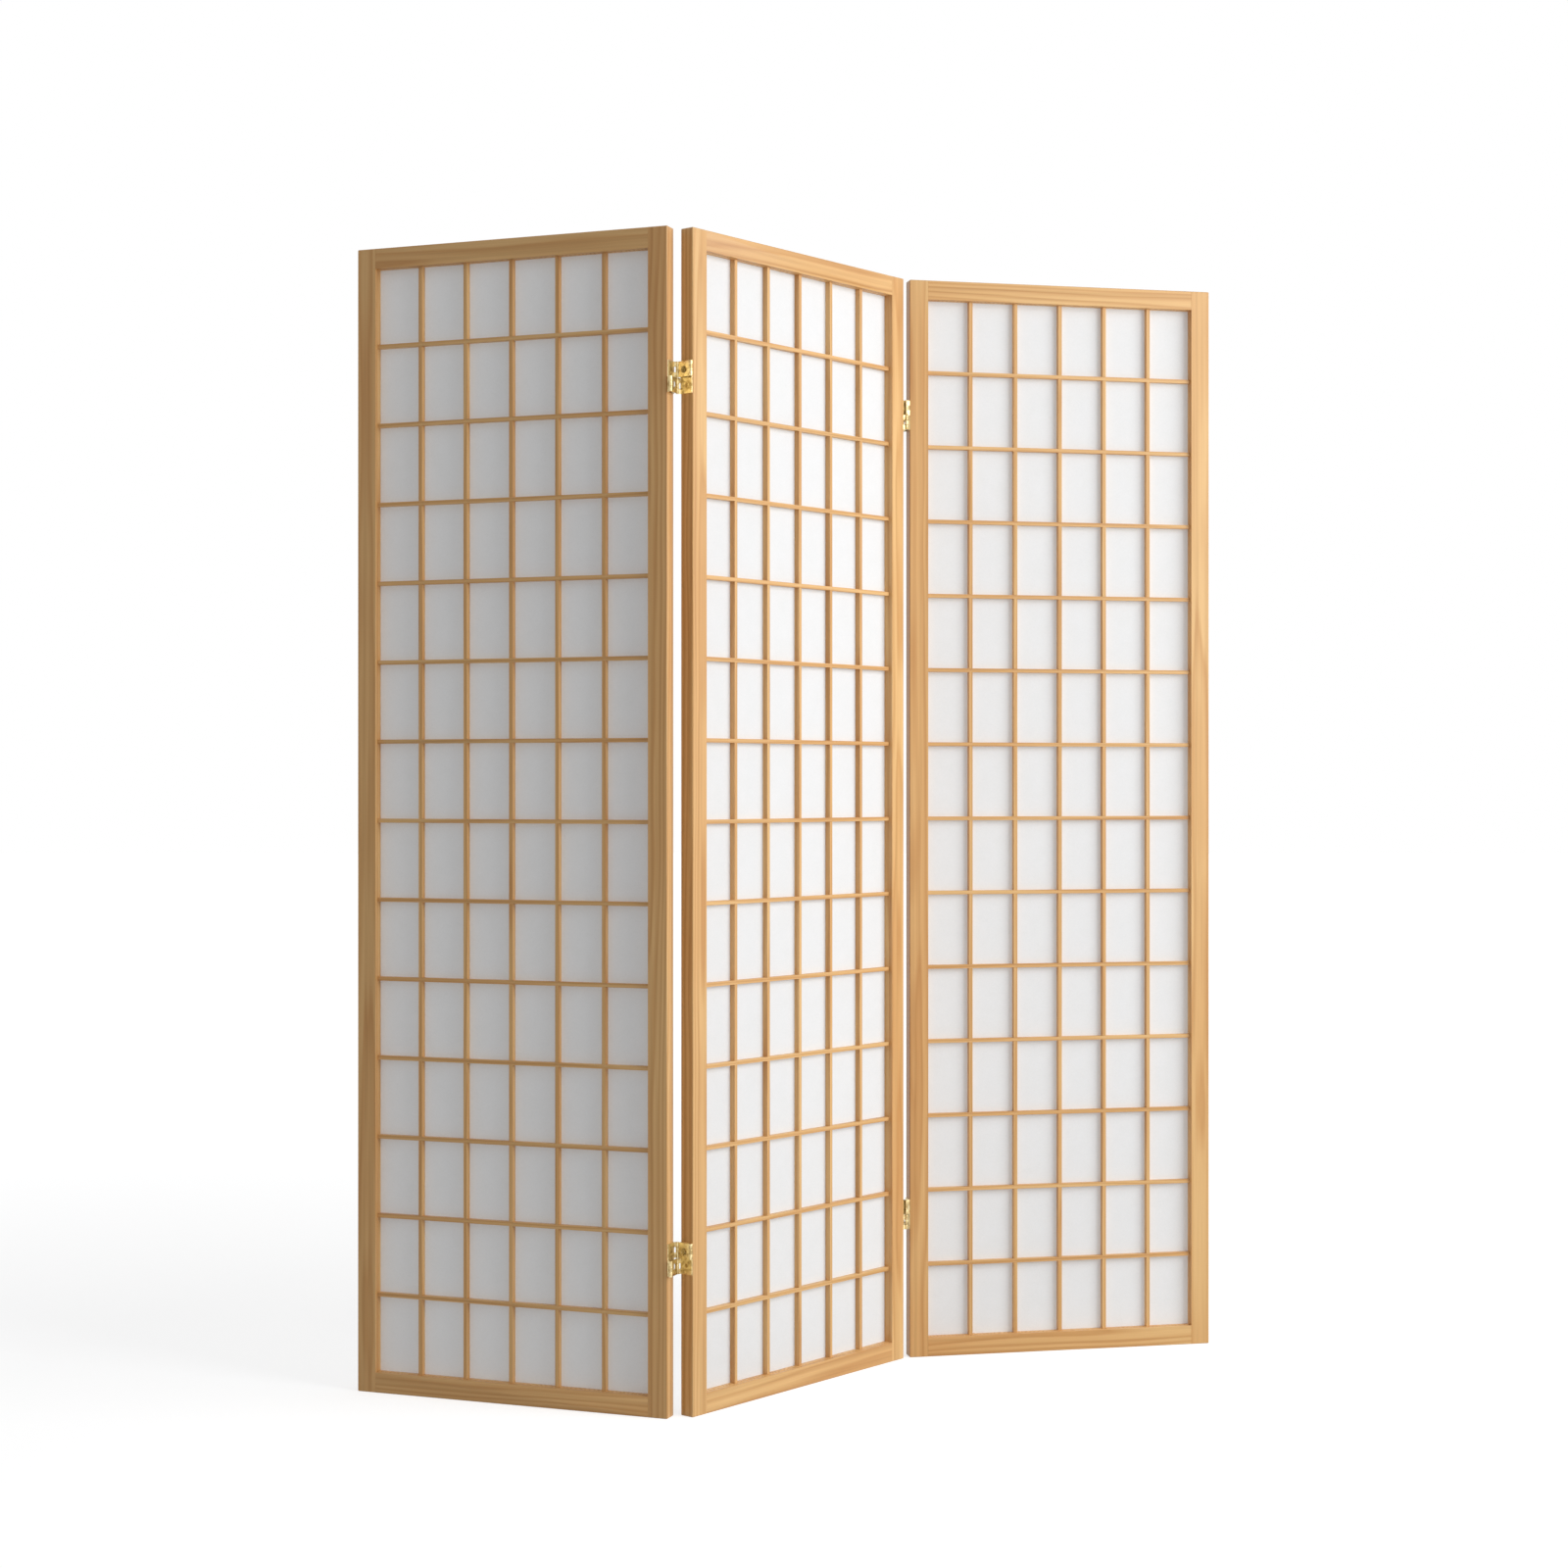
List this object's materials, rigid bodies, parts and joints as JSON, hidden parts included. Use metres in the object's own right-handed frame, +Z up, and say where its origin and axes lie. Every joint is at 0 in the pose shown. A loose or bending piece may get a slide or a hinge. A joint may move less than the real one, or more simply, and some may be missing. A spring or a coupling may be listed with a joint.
{
  "type": "shoji folding screen",
  "caption": "Free-standing folding room divider of hinged shoji panels: light softwood frames, half-lapped lattice, translucent paper and double-acting brass hinges",
  "frame": {"origin": "centre of the bounding box at floor level, with the screen standing folded as pictured", "axes": "+X to the viewer's right across the front, +Y away from the viewer to the back, +Z up"},
  "size_m": [1.3218, 0.5346, 1.7],
  "materials": {
    "frame_wood": "planed pale softwood with a thin clear lacquer",
    "lattice_wood": "planed pale softwood bars with a thin clear lacquer",
    "paper": "smooth white translucent shoji paper",
    "hinge_brass": "brass-plated pressed sheet, bright",
    "pin_brass": "brass-plated wire, bright",
    "screw_brass": "brass-plated countersunk cross-recess screws"
  },
  "bodies": {
    "left_panel": {"left_bottom_hinge_lower_link": "hinge_brass", "left_bottom_hinge_lower_pins": "pin_brass", "left_bottom_hinge_outer_leaf": "hinge_brass", "left_bottom_hinge_outer_screws": "screw_brass", "left_panel_bottom_rail": "frame_wood", "left_panel_edge_strips": "lattice_wood", "left_panel_horizontal_bars": "lattice_wood", "left_panel_left_stile": "frame_wood", "left_panel_paper": "paper", "left_panel_right_stile": "frame_wood", "left_panel_top_rail": "frame_wood", "left_panel_vertical_bars": "lattice_wood", "left_top_hinge_lower_link": "hinge_brass", "left_top_hinge_lower_pins": "pin_brass", "left_top_hinge_outer_leaf": "hinge_brass", "left_top_hinge_outer_screws": "screw_brass"},
    "middle_panel": {"left_bottom_hinge_middle_leaf": "hinge_brass", "left_bottom_hinge_middle_screws": "screw_brass", "left_bottom_hinge_upper_link": "hinge_brass", "left_bottom_hinge_upper_pins": "pin_brass", "left_top_hinge_middle_leaf": "hinge_brass", "left_top_hinge_middle_screws": "screw_brass", "left_top_hinge_upper_link": "hinge_brass", "left_top_hinge_upper_pins": "pin_brass", "middle_panel_bottom_rail": "frame_wood", "middle_panel_edge_strips": "lattice_wood", "middle_panel_horizontal_bars": "lattice_wood", "middle_panel_left_stile": "frame_wood", "middle_panel_paper": "paper", "middle_panel_right_stile": "frame_wood", "middle_panel_top_rail": "frame_wood", "middle_panel_vertical_bars": "lattice_wood", "right_bottom_hinge_middle_leaf": "hinge_brass", "right_bottom_hinge_middle_screws": "screw_brass", "right_bottom_hinge_upper_link": "hinge_brass", "right_bottom_hinge_upper_pins": "pin_brass", "right_top_hinge_middle_leaf": "hinge_brass", "right_top_hinge_middle_screws": "screw_brass", "right_top_hinge_upper_link": "hinge_brass", "right_top_hinge_upper_pins": "pin_brass"},
    "right_panel": {"right_bottom_hinge_lower_link": "hinge_brass", "right_bottom_hinge_lower_pins": "pin_brass", "right_bottom_hinge_outer_leaf": "hinge_brass", "right_bottom_hinge_outer_screws": "screw_brass", "right_panel_bottom_rail": "frame_wood", "right_panel_edge_strips": "lattice_wood", "right_panel_horizontal_bars": "lattice_wood", "right_panel_left_stile": "frame_wood", "right_panel_paper": "paper", "right_panel_right_stile": "frame_wood", "right_panel_top_rail": "frame_wood", "right_panel_vertical_bars": "lattice_wood", "right_top_hinge_lower_link": "hinge_brass", "right_top_hinge_lower_pins": "pin_brass", "right_top_hinge_outer_leaf": "hinge_brass", "right_top_hinge_outer_screws": "screw_brass"}
  },
  "joints": [
    {"name": "left_fold", "type": "hinge", "parent": "middle_panel", "child": "left_panel", "pos_m": [-0.17853, -0.24095, 0.85], "axis": [0, 0, 1], "range_deg": [-109.3, 70.7]},
    {"name": "right_fold", "type": "hinge", "parent": "middle_panel", "child": "right_panel", "pos_m": [0.16708, 0.13697, 0.85], "axis": [0, 0, 1], "range_deg": [-141.8, 38.2]}
  ]
}
